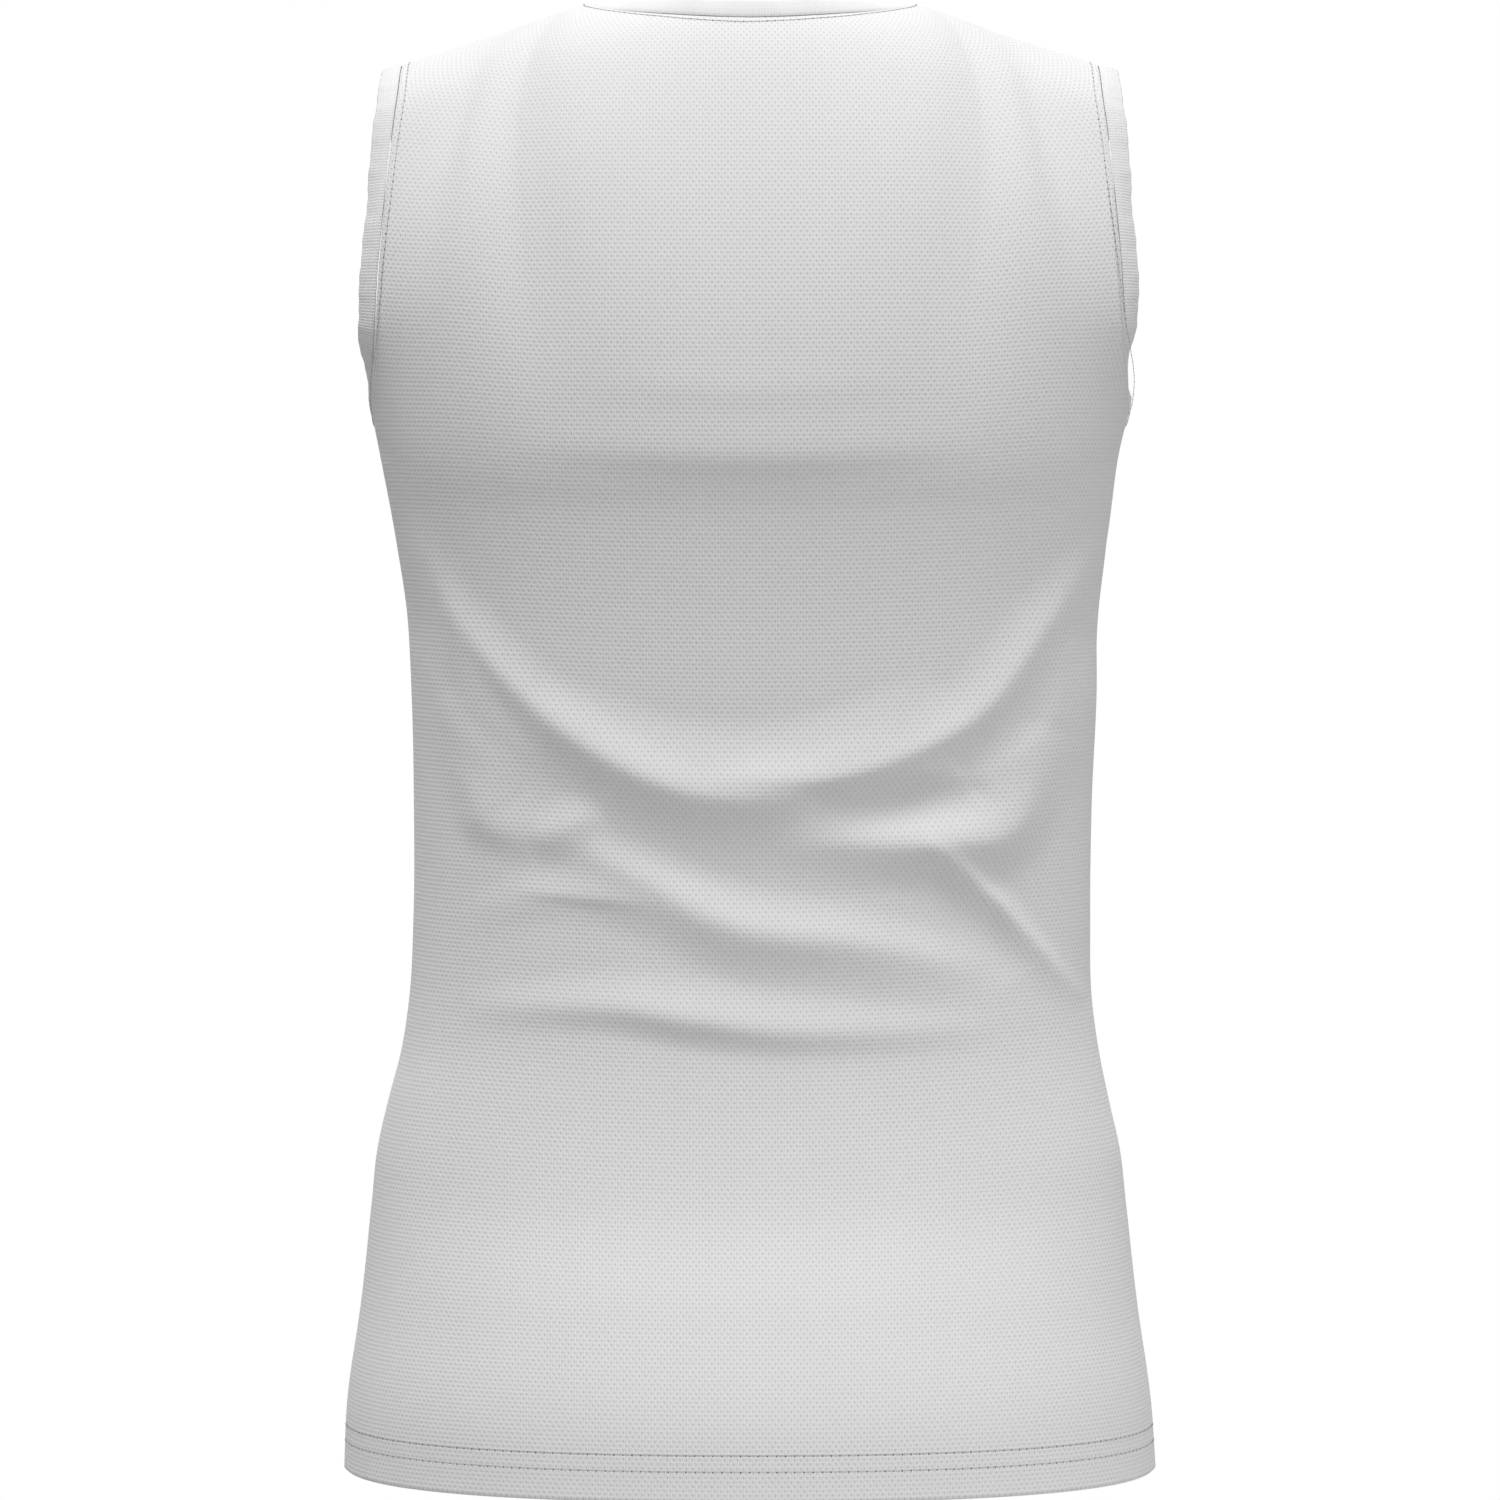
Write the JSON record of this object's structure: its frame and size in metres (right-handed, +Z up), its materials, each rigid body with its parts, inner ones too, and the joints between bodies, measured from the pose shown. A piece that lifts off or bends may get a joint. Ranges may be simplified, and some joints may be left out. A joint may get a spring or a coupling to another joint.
{
  "type": "base layer singlet",
  "caption": "Sleeveless women's base layer singlet in fine mesh knit, filled out as worn, with a bound round neck, bound armholes and a turned-up hem.",
  "frame": {"origin": "midway between the two shoulder ridges, where the garment hangs on whoever wears it", "axes": "+Z up towards the neck opening, the front faces -Y, and +X is the wearer's left"},
  "size_m": [0.345, 0.2228, 0.6257],
  "materials": {
    "mesh_knit": "matt white mesh knit",
    "binding_knit": "matt white folded knit binding"
  },
  "bodies": {
    "root": {"back_panel": "mesh_knit", "front_panel": "mesh_knit", "neckband": "binding_knit", "armhole_band_left": "binding_knit", "armhole_band_right": "binding_knit"}
  },
  "joints": []
}
